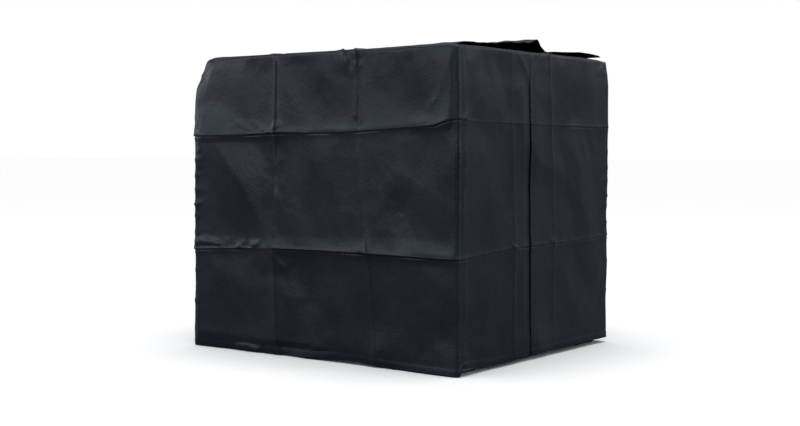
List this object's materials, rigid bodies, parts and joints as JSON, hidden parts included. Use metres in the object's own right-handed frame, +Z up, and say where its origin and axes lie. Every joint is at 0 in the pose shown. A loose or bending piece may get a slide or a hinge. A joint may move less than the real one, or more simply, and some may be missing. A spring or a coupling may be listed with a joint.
{
  "type": "intermediate bulk container",
  "caption": "Caged plastic bulk liquid container on a pallet, under a dark fitted fabric cover with a lapped front flap and a top flap over its filling cap.",
  "frame": {"origin": "on the floor under the middle of the pallet", "axes": "+Z up, -Y towards the valve at the front, X across the front; the long sides run along Y"},
  "size_m": [1.028, 1.2378, 1.1856],
  "materials": {
    "cover_fabric": "satin",
    "hook_and_loop": "matte",
    "galvanised_steel": "spangled satin",
    "zinc_screw": "satin",
    "pallet_deck_steel": "satin",
    "pallet_foot_plastic": "matte",
    "bottle_polyethylene": "satin",
    "red_polypropylene": "satin",
    "black_polypropylene": "satin",
    "seal_rubber": "matte",
    "label_plate": "satin"
  },
  "bodies": {
    "container": {"bottle": "bottle_polyethylene", "cage_clamp_front_left": "galvanised_steel", "cage_clamp_front_left_screw": "zinc_screw", "cage_clamp_front_right": "galvanised_steel", "cage_clamp_front_right_screw": "zinc_screw", "cage_clamp_rear_left": "galvanised_steel", "cage_clamp_rear_left_screw": "zinc_screw", "cage_clamp_rear_right": "galvanised_steel", "cage_clamp_rear_right_screw": "zinc_screw", "cage_front_grid": "galvanised_steel", "cage_left_grid": "galvanised_steel", "cage_rear_grid": "galvanised_steel", "cage_right_grid": "galvanised_steel", "label_plate_front": "label_plate", "label_plate_left": "label_plate", "pallet_deck": "pallet_deck_steel", "pallet_foot_centre_left": "pallet_foot_plastic", "pallet_foot_centre_middle": "pallet_foot_plastic", "pallet_foot_centre_right": "pallet_foot_plastic", "pallet_foot_front_left": "pallet_foot_plastic", "pallet_foot_front_middle": "pallet_foot_plastic", "pallet_foot_front_right": "pallet_foot_plastic", "pallet_foot_rear_left": "pallet_foot_plastic", "pallet_foot_rear_middle": "pallet_foot_plastic", "pallet_foot_rear_right": "pallet_foot_plastic", "pallet_runner_left": "pallet_deck_steel", "pallet_runner_middle": "pallet_deck_steel", "pallet_runner_right": "pallet_deck_steel", "top_bar_front": "galvanised_steel", "top_bar_front_screw_left": "zinc_screw", "top_bar_front_screw_right": "zinc_screw", "top_bar_rear": "galvanised_steel", "top_bar_rear_screw_left": "zinc_screw", "top_bar_rear_screw_right": "zinc_screw", "valve_body": "bottle_polyethylene", "valve_gasket": "seal_rubber", "valve_nut": "black_polypropylene"},
    "fill_gasket": {"fill_cap_gasket": "seal_rubber"},
    "fill_cap": {"fill_cap": "red_polypropylene"},
    "vent_seal": {"vent_plug_seal": "seal_rubber"},
    "vent_plug": {"vent_plug": "black_polypropylene"},
    "outlet_seal": {"outlet_cap_seal": "seal_rubber"},
    "outlet_cap": {"outlet_cap": "red_polypropylene"},
    "valve_handle": {"valve_disc": "black_polypropylene", "valve_stem": "zinc_screw", "valve_handle": "red_polypropylene", "handle_screw": "zinc_screw"},
    "cover": {"cover_top_panel": "cover_fabric", "cover_left_panel": "cover_fabric", "cover_right_panel": "cover_fabric", "cover_rear_panel": "cover_fabric", "cover_front_panel": "cover_fabric", "flap_loop_strip": "hook_and_loop", "inlet_loop_strip": "hook_and_loop"},
    "front_flap": {"front_flap": "cover_fabric", "flap_hook_strip": "hook_and_loop"},
    "inlet_flap": {"inlet_flap": "cover_fabric", "inlet_hook_strip": "hook_and_loop"}
  },
  "joints": [
    {"name": "cover_lift", "type": "slide", "parent": "container", "child": "cover", "axis": [0, 0, 1], "range_m": [0, 1.2]},
    {"name": "front_flap_fold", "type": "hinge", "parent": "cover", "child": "front_flap", "pos_m": [-0.06, -0.6189, 1.06], "axis": [-0.4513, 0, 0.8924], "range_deg": [0, 150]},
    {"name": "inlet_flap_fold", "type": "hinge", "parent": "cover", "child": "inlet_flap", "pos_m": [-0.135, 0.235, 1.1409], "axis": [-1, 0, 0], "range_deg": [0, 165]},
    {"name": "fill_cap_turn", "type": "hinge", "parent": "fill_gasket", "child": "fill_cap", "pos_m": [0, 0, 1.1], "axis": [0, 0, 1], "range_deg": [0, 720]},
    {"name": "fill_cap_rise", "type": "slide", "parent": "container", "child": "fill_gasket", "axis": [0, 0, 1], "range_m": [0, 0.0121]},
    {"name": "vent_plug_turn", "type": "hinge", "parent": "vent_seal", "child": "vent_plug", "pos_m": [0, 0, 1.11], "axis": [0, 0, 1], "range_deg": [0, 720]},
    {"name": "vent_plug_rise", "type": "slide", "parent": "fill_cap", "child": "vent_seal", "axis": [0, 0, 1], "range_m": [0, 0.0061]},
    {"name": "outlet_cap_turn", "type": "hinge", "parent": "outlet_seal", "child": "outlet_cap", "pos_m": [0, -0.58, 0.225], "axis": [0, -1, 0], "range_deg": [0, 720]},
    {"name": "outlet_cap_draw", "type": "slide", "parent": "container", "child": "outlet_seal", "axis": [0, -1, 0], "range_m": [0, 0.0121]},
    {"name": "valve_handle_turn", "type": "hinge", "parent": "container", "child": "valve_handle", "pos_m": [0, -0.497, 0.28], "axis": [0, 0, -1], "range_deg": [0, 90]}
  ],
  "couplings": [
    {"joint": "fill_cap_rise", "follows": "fill_cap_turn", "m_per_rad": 0.00095493},
    {"joint": "vent_plug_rise", "follows": "vent_plug_turn", "m_per_rad": 0.00047746},
    {"joint": "outlet_cap_draw", "follows": "outlet_cap_turn", "m_per_rad": 0.00095493}
  ]
}
